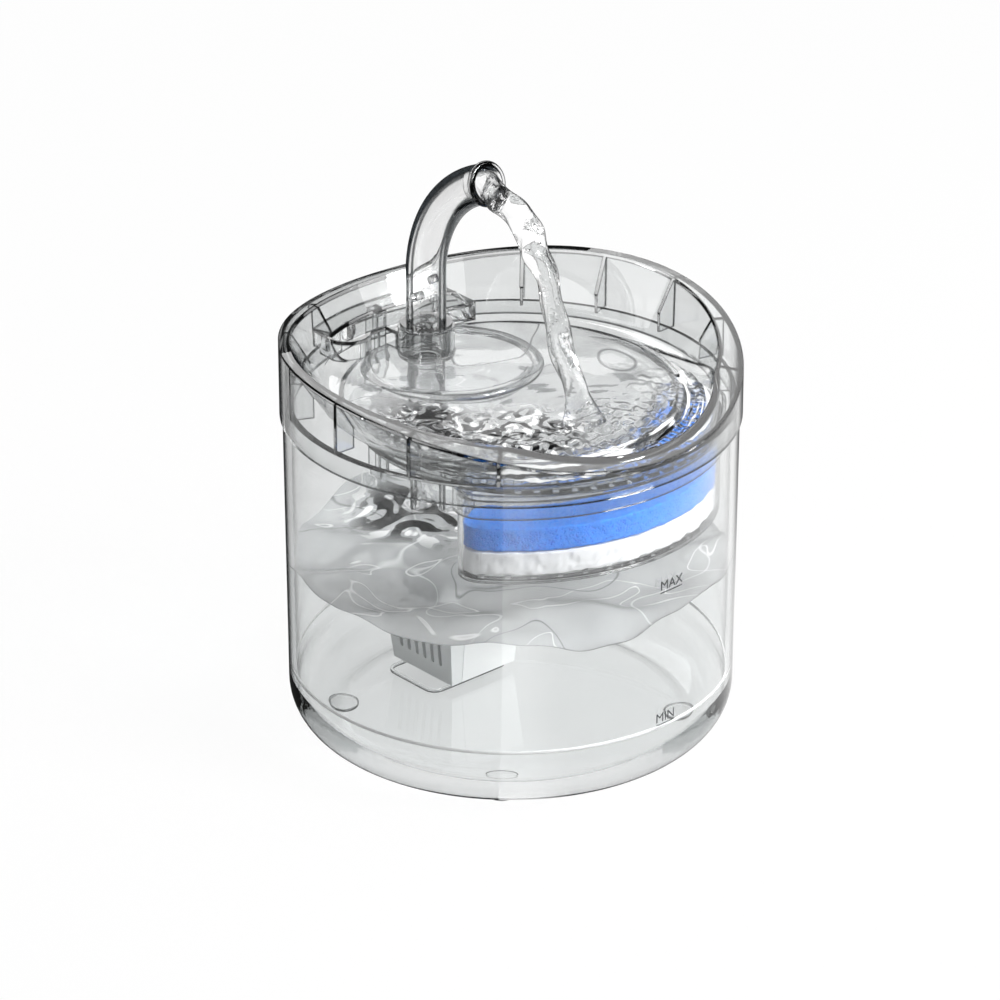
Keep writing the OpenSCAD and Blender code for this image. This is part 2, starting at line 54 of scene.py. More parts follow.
BOWL_R = 65.0
BOWL_Z = 137.0
BOWL_CORNER = 5.0
BOWL_WATER_Z = 141.6
LANDING = (5.8, -44.6)      # where the stream meets the bowl's water
WEIR_R = 67.2
WEIR_REACH = 58             # degrees that the weir runs to each side of the front
CHANNEL_R = 68.0
CHANNEL_SHIFT = 15.0        # how far the channel's outer circle stands forward of the bowl's
CHANNEL_Z = 138.0
ISLAND_Y = 35.0             # middle of the flat round the spout's foot
ISLAND_R = 34.0
ISLAND_Z = 142.0

SPOUT_Y = 50.0
BEND_Z = 174.0
BEND_R = 52.0
BEND_ANGLE = 72.0

# ---------------------------------------------------------------- optics and studio

STYRENE_IOR = 1.57
WATER_IOR = 1.333
PAINTED_FLANK_REFLECTION = "#0B0C0D"               # painted reflection of the dark studio, on water that turns away
EDGE_FROM, EDGE_FULL = 0.985, 0.95    # cosine of an edge's turn where its painted dark line starts and is full
UNDER_AT, UNDER_SPREAD = 0.84, 0.12   # cosine from straight down where a rounded underside lies, which takes more painted rim shade
NOISE_SLOPE = {"broad": 2.6, "slow": 1.6}     # steepest rise of each noise over one of its swells
WAVE_REPEAT = 0.3142                  # repeat of a wave texture whose scale is 1

VIEW_TURN = -42.0          # degrees round from the front: the camera, and what the studio is set by
VIEW_RISE = 27.5
VIEW_DISTANCE = 2.0
PX_PER_M = 2515            # the object's size in the 1000 px frame
VIEW_CENTRE_Z = 0.032
VIEW_SHIFT_PX = (-11, 140.5)

# ---------------------------------------------------------------- small helpers


def srgb(code):
    """A hex colour as linear RGBA."""
    parts = [int(code[i:i + 2], 16) / 255 for i in (1, 3, 5)]
    lin = [c / 12.92 if c <= 0.04045 else ((c + 0.055) / 1.055) ** 2.4 for c in parts]
    return (*lin, 1.0)


def add(tree, kind, inputs=None, links=None, **settings):
    """Adds one node: inputs are values by socket, links are the sockets that feed it, or the nodes
    whose first output does."""
    node = tree.nodes.new(kind)
    for key, value in settings.items():
        setattr(node, key, value)
    for key, value in (inputs or {}).items():
        node.inputs[key].default_value = value
    for key, value in (links or {}).items():
        if isinstance(value, bpy.types.Node):
            value = next(socket for socket in value.outputs if socket.enabled)
        tree.links.new(value, node.inputs[key])
    return node


def new_material(name):
    """An empty node material and its tree."""
    mat = bpy.data.materials.new(name)
    mat.use_nodes = True
    mat.node_tree.nodes.clear()
    return mat, mat.node_tree


def new_object(name, data):
    """An object in the scene, at the origin."""
    obj = bpy.data.objects.new(name, data)
    bpy.context.collection.objects.link(obj)
    return obj


def final_mesh(obj):
    """The plain mesh that an object's modifiers, or its lettering, come to."""
    graph = bpy.context.evaluated_depsgraph_get()
    return bpy.data.meshes.new_from_object(obj.evaluated_get(graph))


def smooth(mesh):
    mesh.polygons.foreach_set("use_smooth", [True] * len(mesh.polygons))


def points(x, y, z):
    """Coordinates, as arrays or single numbers, made a list of points."""
    return np.column_stack(np.broadcast_arrays(x, y, z)).tolist()


def turns(segments):
    """Angles all round a circle."""
    return np.linspace(0, 2 * math.pi, segments, endpoint=False)


def mesh_piece(name, verts, faces, mat, body, angle=None):
    """A closed mesh in millimetres made into a smooth piece that rides on a body."""
    mesh = bpy.data.meshes.new(name)
    mesh.from_pydata([tuple(c * MM for c in v) for v in verts], [], faces)
    bm = bmesh.new()
    bm.from_mesh(mesh)
    bmesh.ops.remove_doubles(bm, verts=bm.verts, dist=1e-6)
    bmesh.ops.recalc_face_normals(bm, faces=bm.faces)
    bm.to_mesh(mesh)
    bm.free()
    smooth(mesh)
    if angle is not None:
        mesh.set_sharp_from_angle(angle=math.radians(angle))
    mesh.materials.append(mat)
    obj = new_object(name, mesh)
    if body:
        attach(obj, body)
    return obj


def ring_mesh(rings, segments):
    """Vertices and quads of stacked rings; a ring of one point is a pole."""
    verts, faces, start = [], [], []
    for ring in rings:
        start.append(len(verts))
        verts.extend(ring)
    for a, b, ra, rb in zip(start, start[1:], rings, rings[1:]):
        for i in range(segments):
            j = (i + 1) % segments
            if len(ra) == 1:
                faces.append((a, b + i, b + j))
            elif len(rb) == 1:
                faces.append((a + i, b, a + j))
            else:
                faces.append((a + i, b + i, b + j, a + j))
    return verts, faces


class Ripples:
    """Sum of seeded sine waves in many directions, as a height in mm over x, y and z in mm."""

    def __init__(self, seed, count, shortest, longest, height, power=1.1):
        rng = np.random.default_rng(seed)
        self.wave = np.exp(rng.uniform(math.log(shortest), math.log(longest), count))
        self.turn = rng.uniform(0, 2 * math.pi, count)
        self.phase = rng.uniform(0, 2 * math.pi, count)
        amp = self.wave ** power
        self.amp = height * amp / math.sqrt((amp ** 2).sum() / 2)
        self.lean = rng.uniform(-1, 1, count)

    def __call__(self, x, y, z=0.0):
        x, y, z = np.asarray(x, float), np.asarray(y, float), np.asarray(z, float)
        total = np.zeros(np.broadcast(x, y, z).shape)
        for wave, turn, phase, amp, lean in zip(self.wave, self.turn, self.phase, self.amp, self.lean):
            k = 2 * math.pi / wave
            total += amp * np.sin(k * (x * math.cos(turn) + y * math.sin(turn) + z * lean) + phase)
        return total


# ---------------------------------------------------------------- materials


def light_passes(tree, shader, hex_code):
    """The shader for every ray but those of shadows, which go straight through with a slight tint."""
    path = add(tree, "ShaderNodeLightPath")
    passing = add(tree, "ShaderNodeBsdfTransparent", {"Color": srgb(hex_code)})
    return add(tree, "ShaderNodeMixShader",
               links={0: path.outputs["Is Shadow Ray"], 1: shader, 2: passing})


def clear_styrene(name, roughness, wave_mm, wave_depth, smoke=30.0, painted_rim_from=0.78, painted_rim_to=0.93,
                  line_mm=0.45, tint="#FFFFFF", underside=0.0, ior=STYRENE_IOR):
    """Injection-moulded clear styrene: glossy, faintly wavy from the mould. It takes smoke x 100 %
    of the light per metre, so that a wall is nearly clear and an edge or a rim seen along it is dark.
    Shade is also painted into its colour: a dark line along each moulded edge, found within line_mm,
    as painted shade for the light that a rounded edge bends away, and painted rim shade where the
    surface turns away from the view. Where a rounded underside turns down towards the table, underside
    adds that much more painted rim shade."""
    mat, tree = new_material(name)
    place = add(tree, "ShaderNodeTexCoord")
    flow = add(tree, "ShaderNodeTexNoise", {"Scale": 1 / (wave_mm * MM), "Detail": 1.0},
               {"Vector": place.outputs["Object"]})
    bump = add(tree, "ShaderNodeBump", {"Strength": 1.0, "Distance": wave_depth * MM},
               {"Height": flow.outputs["Fac"]})
    face = add(tree, "ShaderNodeNewGeometry")
    # Painted shade: a dark line wherever the bevel finds an edge within line_mm
    rounded = add(tree, "ShaderNodeBevel", {"Radius": line_mm * MM}, samples=4)
    same = add(tree, "ShaderNodeVectorMath", operation="DOT_PRODUCT",
               links={0: rounded, 1: face.outputs["Normal"]})
    edge = add(tree, "ShaderNodeMapRange", {"From Min": EDGE_FROM, "From Max": EDGE_FULL},
               {"Value": same.outputs["Value"]}, interpolation_type="SMOOTHSTEP")
    # Painted shade: darker where the surface turns away from the view, more on a rounded underside
    seen = add(tree, "ShaderNodeLayerWeight", {"Blend": 0.5})
    down = add(tree, "ShaderNodeVectorMath", {1: (0.0, 0.0, -1.0)}, {0: face.outputs["Normal"]},
               operation="DOT_PRODUCT")
    under = add(tree, "ShaderNodeMath", {1: UNDER_AT, 2: UNDER_SPREAD},
                {0: down.outputs["Value"]}, operation="COMPARE")
    steep = add(tree, "ShaderNodeMath", {1: underside}, {0: under, 2: seen.outputs["Facing"]},
                operation="MULTIPLY_ADD")
    rim = add(tree, "ShaderNodeMapRange", {"From Min": painted_rim_from, "From Max": painted_rim_to},
              {"Value": steep}, interpolation_type="SMOOTHSTEP")
    dark = add(tree, "ShaderNodeMath", links={0: edge, 1: rim}, operation="MAXIMUM")
    # The painted shade's colour, #06080A, laid over the tint on edge lines and turned-away rims
    tone = add(tree, "ShaderNodeMix", {"A": srgb(tint), "B": srgb("#06080A")}, {"Factor": dark},
               data_type="RGBA")
    plastic = add(tree, "ShaderNodeBsdfPrincipled",
                  {"Roughness": roughness, "IOR": ior, "Transmission Weight": 1.0},
                  {"Base Color": tone, "Normal": bump})
    bulk = add(tree, "ShaderNodeVolumeAbsorption", {"Color": (0, 0, 0, 1), "Density": smoke})
    add(tree, "ShaderNodeOutputMaterial",
        links={"Surface": light_passes(tree, plastic, "#FBFBFB"), "Volume": bulk})
    return mat


def ruffles(tree, ripple_mm, ripple_depth):
    """Relief of fine ripples that the mesh is too coarse for."""
    place = add(tree, "ShaderNodeTexCoord")
    fine = add(tree, "ShaderNodeTexNoise",
               {"Scale": 1 / (ripple_mm * MM), "Detail": 2.0, "Distortion": 0.6},
               {"Vector": place.outputs["Object"]})
    return add(tree, "ShaderNodeBump", {"Strength": 1.0, "Distance": ripple_depth * MM},
               {"Height": fine.outputs["Fac"]})


def clear_water(tree, relief, dark_from, dark_to):
    """Clear water's own shader. Flanks that turn away are painted dark, a painted reflection of the
    dark studio, so less comes through them."""
    seen = add(tree, "ShaderNodeLayerWeight", {"Blend": 0.5}, {"Normal": relief})
    # Painted reflection: turned-away flanks darken towards near-black
    flank_painted_dark = add(tree, "ShaderNodeMapRange", {"From Min": dark_from, "From Max": dark_to},
                {"Value": seen.outputs["Facing"]}, interpolation_type="SMOOTHSTEP")
    tone = add(tree, "ShaderNodeMix", {"A": (1, 1, 1, 1), "B": srgb(PAINTED_FLANK_REFLECTION)},
               {"Factor": flank_painted_dark}, data_type="RGBA")
    return add(tree, "ShaderNodeBsdfPrincipled",
               {"Roughness": 0.0, "IOR": WATER_IOR, "Transmission Weight": 1.0},
               {"Base Color": tone, "Normal": relief})


def clean_water(name, ripple_mm, ripple_depth, dark_from, dark_to):
    """Clean tap water that falls or drips: clear, with fine ripples, and the painted dark flanks of
    clear_water.
    """
    mat, tree = new_material(name)
    water = clear_water(tree, ruffles(tree, ripple_mm, ripple_depth), dark_from, dark_to)
    add(tree, "ShaderNodeOutputMaterial",
        links={"Surface": light_passes(tree, water, "#FCFCFC")})
    return mat


def round_the_fountain(tree, spot, flow):
    """Object coordinates bent round the upright axis: along the weir, drawn out by flow, and out."""
    axes = add(tree, "ShaderNodeSeparateXYZ", links={0: spot})
    turn = add(tree, "ShaderNodeMath", links={0: axes.outputs["Y"], 1: axes.outputs["X"]},
               operation="ARCTAN2")
    run = add(tree, "ShaderNodeMath", {1: WEIR_R * MM / flow}, {0: turn}, operation="MULTIPLY")
    flat = add(tree, "ShaderNodeCombineXYZ", links={"X": axes.outputs["X"], "Y": axes.outputs["Y"]})
    out = add(tree, "ShaderNodeVectorMath", links={0: flat}, operation="LENGTH")
    return add(tree, "ShaderNodeCombineXYZ", links={"X": run, "Y": out.outputs["Value"]})


def lively_water(name, ripple_mm, ripple_depth, cover, painted_skin_hex, lines, line_mm=0.5, spread_mm=22,
                 uneven=(0.86, 1.1), dark_from=0.3, dark_to=0.9, painted_glint_patches=(), round_flow=0.0):
    """Tap water kept moving: its skin hides cover x 100 % of what is under it with a painted satin grey,
    made lighter and darker by a slow noise: painted reflection standing in for its ruffled surface.
    Thin lines are painted where ripples would meet, light ones as painted highlights and dark ones as
    painted reflections of the dark studio: each of lines is (swell, level, width, share, hex) with
    swell "broad" or "slow". In each patch, given as (centre in mm, radius in mm, streak in mm, dark
    level, light level), dark and white spots are painted: painted reflections of the dark and the
    bright studio in steep little waves. With round_flow the water runs round the fountain, and draws
    its pattern out that many times."""
    mat, tree = new_material(name)
    place = add(tree, "ShaderNodeTexCoord").outputs["Object"]
    spot = round_the_fountain(tree, place, round_flow) if round_flow else place
    relief = ruffles(tree, ripple_mm, ripple_depth)
    swells = {
        "broad": add(tree, "ShaderNodeTexNoise",
                     {"Scale": 1 / (spread_mm * MM), "Detail": 1.2, "Distortion": 1.4},
                     {"Vector": spot}),
        "slow": add(tree, "ShaderNodeTexNoise",
                    {"Scale": 0.6 / (spread_mm * MM), "Detail": 0.8, "Distortion": 1.1, "W": 3.0},
                    {"Vector": spot}, noise_dimensions="4D"),
    }
    # Painted satin grey of the skin, lighter and darker along the slow swell: painted reflection
    shade = add(tree, "ShaderNodeMapRange",
                {"From Min": 0.3, "From Max": 0.7, "To Min": uneven[0], "To Max": uneven[1]},
                {"Value": swells["slow"].outputs["Fac"]})
    body = add(tree, "ShaderNodeMix", {"Factor": 1.0, "A": srgb(painted_skin_hex)}, {"B": shade},
               data_type="RGBA", blend_type="MULTIPLY")

    def draw(drawn, mask, hex_code):
        """Puts painted light on the skin, a highlight or a dark reflection; the skin hides more where
        something is painted.
        """
        colour, strength = drawn
        colour = add(tree, "ShaderNodeMix", {"B": srgb(hex_code)}, {"Factor": mask, "A": colour},
                     data_type="RGBA")
        if strength:
            mask = add(tree, "ShaderNodeMath", links={0: strength, 1: mask}, operation="MAXIMUM")
        return colour, mask

    drawn = (body, None)
    # Painted lines lie where a noise passes a level; their width is the level's band over the noise's
    # slope
    for swell, level, width, share, hex_code in lines:
        off = add(tree, "ShaderNodeMath", {1: level}, {0: swells[swell].outputs["Fac"]},
                  operation="SUBTRACT")
        off = add(tree, "ShaderNodeMath", links={0: off}, operation="ABSOLUTE")
        band = line_mm * width * NOISE_SLOPE[swell] / spread_mm / 2
        line = add(tree, "ShaderNodeMapRange", {"From Min": band, "From Max": 0.0, "To Max": share},
                   {"Value": off}, interpolation_type="SMOOTHSTEP")
        drawn = draw(drawn, line, hex_code)
    # Painted reflections: dark and white spots of the dark and the bright studio, inside each patch
    for centre, radius, streak_mm, dark_level, light_level in painted_glint_patches:
        wavelets = add(tree, "ShaderNodeTexNoise",
                       {"Scale": 1 / (streak_mm * MM), "Detail": 1.0, "Distortion": 2.2},
                       {"Vector": spot})
        far = add(tree, "ShaderNodeVectorMath", {1: [c * MM for c in centre]}, {0: place},
                  operation="DISTANCE")
        inside = add(tree, "ShaderNodeMapRange",
                     {"From Min": radius * MM, "From Max": 0.45 * radius * MM},
                     {"Value": far.outputs["Value"]}, interpolation_type="SMOOTHSTEP")
        for level, ramp, hex_code in ((dark_level, -0.05, "#101112"), (light_level, 0.05, "#FFFFFF")):
            on = add(tree, "ShaderNodeMapRange", {"From Min": level, "From Max": level + ramp},
                     {"Value": wavelets.outputs["Fac"]}, interpolation_type="SMOOTHSTEP")
            mask = add(tree, "ShaderNodeMath", links={0: on, 1: inside}, operation="MULTIPLY")
            drawn = draw(drawn, mask, hex_code)
    colour, strength = drawn
    skin = add(tree, "ShaderNodeBsdfPrincipled", {"Roughness": 0.12, "IOR": WATER_IOR},
               {"Base Color": colour, "Normal": relief})
    hide = add(tree, "ShaderNodeMath", {1: 1.0 - cover, 2: cover}, {0: strength},
               operation="MULTIPLY_ADD")
    water = add(tree, "ShaderNodeMixShader",
                links={0: hide, 1: clear_water(tree, relief, dark_from, dark_to), 2: skin})
    add(tree, "ShaderNodeOutputMaterial",
        links={"Surface": light_passes(tree, water, "#F4F4F4")})
    return mat


def wetting_water(name):
    """Water lying against the plastic: with no air between them its surface can't be seen."""
    mat, tree = new_material(name)
    place = add(tree, "ShaderNodeTexCoord")
    cloud = add(tree, "ShaderNodeTexNoise", {"Scale": 1 / (30 * MM)},
                {"Vector": place.outputs["Object"]})
    tone = add(tree, "ShaderNodeMix", {"A": srgb("#FEFEFE"), "B": srgb("#FAFBFB")},
               {"Factor": cloud.outputs["Fac"]}, data_type="RGBA")
    clear = add(tree, "ShaderNodeBsdfTransparent", links={"Color": tone})
    add(tree, "ShaderNodeOutputMaterial", links={"Surface": clear})
    return mat


def moulded(name, colour, roughness, grain_mm=0.8, grain_depth=0.01, ior=1.5):
    """Opaque moulded plastic or rubber: spark-eroded grain in colour, gloss and relief."""
    mat, tree = new_material(name)
    place = add(tree, "ShaderNodeTexCoord")
    grain = add(tree, "ShaderNodeTexNoise", {"Scale": 1 / (grain_mm * MM), "Detail": 3.0},
                {"Vector": place.outputs["Object"]})
    tone = add(tree, "ShaderNodeMix", {"Factor": 0.03, "A": srgb(colour)},
               {"B": grain.outputs["Color"]}, data_type="RGBA", blend_type="MULTIPLY")
    gloss = add(tree, "ShaderNodeMapRange",
                {"To Min": roughness - 0.05, "To Max": roughness + 0.05},
                {"Value": grain.outputs["Fac"]})
    bump = add(tree, "ShaderNodeBump", {"Strength": 0.6, "Distance": grain_depth * MM},
               {"Height": grain.outputs["Fac"]})
    body = add(tree, "ShaderNodeBsdfPrincipled", {"IOR": ior},
               {"Base Color": tone, "Roughness": gloss, "Normal": bump})
    add(tree, "ShaderNodeOutputMaterial", links={"Surface": body})
    return mat


def open_cell_foam(name):
    """Open-cell PU foam: dyed blue, matte, with pores painted darker than their walls: painted shade in
    the pores. Real pores are about 0.5 mm; these are drawn 1.1 mm apart, so that they show."""
    mat, tree = new_material(name)
    place = add(tree, "ShaderNodeTexCoord")
    pores = add(tree, "ShaderNodeTexVoronoi", {"Scale": 1 / (1.1 * MM), "Randomness": 1.0},
                {"Vector": place.outputs["Object"]})
    cloud = add(tree, "ShaderNodeTexNoise", {"Scale": 1 / (9 * MM), "Detail": 2.0},
                {"Vector": place.outputs["Object"]})
    pore_depth_and_shade = add(tree, "ShaderNodeMapRange", {"From Min": 0.1, "From Max": 0.5},
               {"Value": pores.outputs["Distance"]})
    # Painted shade: the pores take the darker blue, the walls the lighter one
    ramp = add(tree, "ShaderNodeMix", {"A": srgb("#0C5CEC"), "B": srgb("#2A92FF")},
               {"Factor": pore_depth_and_shade}, data_type="RGBA")
    shade = add(tree, "ShaderNodeMix", {"Factor": 0.12}, {"A": ramp, "B": cloud.outputs["Color"]},
                data_type="RGBA", blend_type="MULTIPLY")
    bump = add(tree, "ShaderNodeBump", {"Strength": 0.7, "Distance": 0.3 * MM}, {"Height": pore_depth_and_shade})
    foam = add(tree, "ShaderNodeBsdfPrincipled", {"Roughness": 0.95, "Specular IOR Level": 0.12},
               {"Base Color": shade, "Normal": bump})
    add(tree, "ShaderNodeOutputMaterial", links={"Surface": foam})
    return mat


def cotton_wadding(name):
    """Needle-punched cotton wadding: white, with a soft sheen. Its fibres lie flat, and are drawn as
    tufts 1.6 mm long, so that they show."""
    mat, tree = new_material(name)
    place = add(tree, "ShaderNodeTexCoord")
    flat = add(tree, "ShaderNodeMapping", {"Scale": (1.0, 1.0, 3.0)},
               {"Vector": place.outputs["Object"]})
    fibre = add(tree, "ShaderNodeTexNoise",
                {"Scale": 1 / (1.6 * MM), "Detail": 6.0, "Distortion": 1.5}, {"Vector": flat})
    share = add(tree, "ShaderNodeMapRange", {"From Min": 0.3, "From Max": 0.7},
                {"Value": fibre.outputs["Fac"]})
    tone = add(tree, "ShaderNodeMix", {"A": srgb("#ECEEF0"), "B": srgb("#FBFBFC")},
               {"Factor": share}, data_type="RGBA")
    bump = add(tree, "ShaderNodeBump", {"Strength": 0.6, "Distance": 0.2 * MM},
               {"Height": fibre.outputs["Fac"]})
    cloth = add(tree, "ShaderNodeBsdfPrincipled", {"Roughness": 0.95, "Sheen Weight": 0.3},
                {"Base Color": tone, "Normal": bump})
    add(tree, "ShaderNodeOutputMaterial", links={"Surface": cloth})
    return mat


def bare_metal(name, colour, roughness, line_mm):
    """Worked metal: fine tool lines about line_mm apart."""
    mat, tree = new_material(name)
    place = add(tree, "ShaderNodeTexCoord")
    lines = add(tree, "ShaderNodeTexWave",
                {"Scale": WAVE_REPEAT / (line_mm * MM), "Distortion": 0.5},
                {"Vector": place.outputs["Object"]}, bands_direction="X")
    gloss = add(tree, "ShaderNodeMapRange", {"To Min": roughness * 0.8, "To Max": roughness * 1.2},
                {"Value": lines.outputs["Fac"]})
    bump = add(tree, "ShaderNodeBump", {"Strength": 0.4, "Distance": 0.02 * MM},
               {"Height": lines.outputs["Fac"]})
    metal = add(tree, "ShaderNodeBsdfPrincipled", {"Base Color": srgb(colour), "Metallic": 1.0},
                {"Roughness": gloss, "Normal": bump})
    add(tree, "ShaderNodeOutputMaterial", links={"Surface": metal})
    return mat


# Clear plastics, each with painted dark edge lines and painted rim shade
TANK_PLASTIC = clear_styrene("clear_styrene_tank", 0.01, 60, 0.04, smoke=13.0, line_mm=0.4,
                             tint="#F6F7F7", underside=0.16, painted_rim_to=0.90)
TRAY_PLASTIC = clear_styrene("clear_styrene_tray", 0.01, 40, 0.03, smoke=42.0, line_mm=0.9,
                             tint="#F8F9F9", painted_rim_from=0.77, painted_rim_to=0.88)
SPOUT_PLASTIC = clear_styrene("clear_styrene_spout", 0.01, 30, 0.02, smoke=45.0, painted_rim_from=0.45,
                              painted_rim_to=0.55)
CASE_PLASTIC = clear_styrene("clear_styrene_case", 0.015, 40, 0.02)
SOFT_CLEAR = clear_styrene("clear_soft_tpe", 0.05, 20, 0.03, smoke=90.0, painted_rim_from=0.38, painted_rim_to=0.76)
PAD_CLEAR = clear_styrene("clear_silicone_pads", 0.03, 20, 0.02, smoke=12.0, line_mm=0.5, ior=1.41)
# Moving water: its grey skin, lines and patches are painted reflections and painted highlights
TANK_WATER = lively_water(
    "tap_water_tank", 9, 0.2, 0.72, "#B9BBBC",
    [("broad", 0.60, 0.6, 0.7, "#FFFFFF"), ("slow", 0.47, 0.5, 0.6, "#F2F3F4"),
     ("slow", 0.58, 0.6, 0.7, "#4A4C4E")],
    spread_mm=44, uneven=(0.72, 1.24), painted_glint_patches=[((-6, 48, WATER_Z), 38, 19, 0.46, 0.56)])
WALL_WATER = wetting_water("tap_water_on_plastic")
BOWL_WATER = lively_water(
    "tap_water_bowl", 5, 0.06, 0.2, "#CDCFD0", [("slow", 0.55, 0.6, 0.8, "#2A2C2E")],
    spread_mm=50, dark_from=0.5, dark_to=0.8,
    painted_glint_patches=[((-24, -34, BOWL_WATER_Z), 34, 9, 0.48, 0.58),
            ((-46, -4, BOWL_WATER_Z), 30, 11, 0.52, 0.62)])
RUNNING_WATER = lively_water(
    "tap_water_over_weir", 4, 0.2, 0.05, "#CDCFD0", [], spread_mm=20, dark_from=0.45,
    dark_to=0.75, round_flow=11.0, painted_glint_patches=[((0, 0, CHANNEL_Z), 200, 5.5, 0.47, 0.60)])
STREAM_WATER = clean_water("tap_water_stream", 4, 0.4, 0.42, 0.8)
BLUE_FOAM = open_cell_foam("blue_open_cell_foam")
COTTON = cotton_wadding("white_cotton_wadding")
PUMP_WHITE = moulded("white_abs_pump", "#EDEEEE", 0.35)
COVER_WHITE = moulded("white_abs_cover", "#E6E8E8", 0.4)
IMPELLER_WHITE = moulded("ivory_pom_impeller", "#E4E2DA", 0.4)
BLACK_NBR = moulded("black_nbr_rubber", "#1E1F20", 0.7)
CUP_PVC = moulded("milky_soft_pvc_cups", "#C4C8CA", 0.35)
RESIN = moulded("black_potting_epoxy", "#151515", 0.3)
FERRITE = moulded("sintered_ferrite_magnet", "#35363A", 0.6, grain_mm=0.4)
CERAMIC = moulded("alumina_bearing", "#EFE9DC", 0.25, grain_mm=0.3, ior=1.76)
STEEL = bare_metal("ground_stainless_shaft", "#C9CBCE", 0.22, 0.3)
LAMINATION = bare_metal("laminated_silicon_steel", "#8E9094", 0.4, 0.5)
COPPER = bare_metal("enamelled_copper_winding", "#C2703A", 0.3, 0.35)
INK = moulded("grey_pad_print_ink", "#3A3C3E", 0.5)
# Painted highlight along the step inside the tank's wall, made as a white bead
STEP_HIGHLIGHT_WHITE = moulded("white_bead_painted_step_highlight", "#FFFFFF", 0.55, grain_depth=0.004, ior=STYRENE_IOR)

FINISHES = {
    "tank": TANK_PLASTIC,
    "drinking_tray": TRAY_PLASTIC,
    "connector_tube": SPOUT_PLASTIC,
    "spout": SPOUT_PLASTIC,
    "filter_case": CASE_PLASTIC,
    "filter_grid": CASE_PLASTIC,
    "foot_pads": PAD_CLEAR,
    "spout_bush": SOFT_CLEAR,
    "filter_sponge": BLUE_FOAM,
    "cotton_pad": COTTON,
    "pump_housing": PUMP_WHITE,
    "volute_cover": PUMP_WHITE,
    "pump_cover": COVER_WHITE,
    "impeller": IMPELLER_WHITE,
    "rotor_magnet": FERRITE,
    "impeller_shaft": STEEL,
    "front_bush": CERAMIC,
    "rear_bush": CERAMIC,
    "stator_core": LAMINATION,
    "stator_coil": COPPER,
    "potting_plug": RESIN,
    "cable_gland": BLACK_NBR,
    "volute_seal": BLACK_NBR,
    "suction_cups": CUP_PVC,
}
for node, finish in FINISHES.items():
    NODES[node].data.materials.clear()
    NODES[node].data.materials.append(finish)

# ---------------------------------------------------------------- sponge and cotton in the case


def soft_fill(node, name, mat, rounding, uneven, seed):
    """A piece of foam or wadding, cut to the case: the solid's shape with soft edges, drawn in a
    little all round, and cut faces that are never quite even. Sizes in mm."""
    cell, drawn_in, least, most = 0.8, 0.25, 0.02, 1.0
    mesh = NODES[node].data.copy()
    bm = bmesh.new()
    bm.from_mesh(mesh)
    bmesh.ops.remove_doubles(bm, verts=bm.verts, dist=1e-6)
    bm.to_mesh(mesh)
    bm.free()
    obj = new_object(name, mesh)
    cells = obj.modifiers.new("cells", "REMESH")
    cells.mode, cells.voxel_size = "VOXEL", cell * MM
    soften = obj.modifiers.new("soften", "SMOOTH")
    soften.factor, soften.iterations = 0.5, rounding
    mesh = final_mesh(obj)
    obj.modifiers.clear()
    obj.data = mesh
    mesh.name = name
    place = np.empty(3 * len(mesh.vertices))
    out = np.empty_like(place)
    mesh.vertices.foreach_get("co", place)
    mesh.vertex_normals.foreach_get("vector", out)
    place, out = place.reshape(-1, 3), out.reshape(-1, 3)
    cut = Ripples(seed, 40, 1.8, 14, uneven, power=0.6)(*(place / MM).T)
    inward = np.clip(drawn_in + cut, least, most) * MM
    mesh.vertices.foreach_set("co", (place - out * inward[:, None]).ravel())
    mesh.update()
    smooth(mesh)
    mesh.materials.clear()
    mesh.materials.append(mat)
    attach(obj, "filter")
    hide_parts(node)


soft_fill("filter_sponge", "blue_sponge", BLUE_FOAM, 4, 0.14, 41)
soft_fill("cotton_pad", "white_cotton", COTTON, 5, 0.2, 42)

# ---------------------------------------------------------------- water


def wet_sides(obj):
    """Gives every face of a body of water but its open top the look of water on plastic."""
    mesh = obj.data
    mesh.materials.append(WALL_WATER)
    for face in mesh.polygons:
        face.material_index = int(face.normal.z < 0.5)


def cut_away(obj, radius, centre, z0, z1, operation="DIFFERENCE"):
    """Takes an upright cylinder out of a piece, or what lies outside it, all in mm."""
    bpy.ops.mesh.primitive_cylinder_add(
        vertices=128, radius=radius * MM, depth=(z1 - z0) * MM,
        location=(centre[0] * MM, centre[1] * MM, (z0 + z1) / 2 * MM))
    cutter = bpy.context.object
    mod = obj.modifiers.new("cut", "BOOLEAN")
    mod.operation, mod.object, mod.solver = operation, cutter, "EXACT"
    mesh = final_mesh(obj)
    obj.modifiers.remove(mod)
    obj.data = mesh
    bpy.data.objects.remove(cutter)


def round_surface(wide, count, turn, middle_z, height, y0=0.0):
    """Rings of a round water surface, from its middle out to a radius of wide. height gives z for
    the x, y and radius of a ring's points; y0 is the middle's y."""
    rings = [[(0.0, y0, middle_z)]]
    for i in range(1, count + 1):
        r = wide * i / count
        x, y = r * np.cos(turn), y0 + r * np.sin(turn)
        rings.append(points(x, y, height(x, y, r)))
    return rings


def circle(r, z, turn, y0=0.0):
    return points(r * np.cos(turn), y0 + r * np.sin(turn), z)


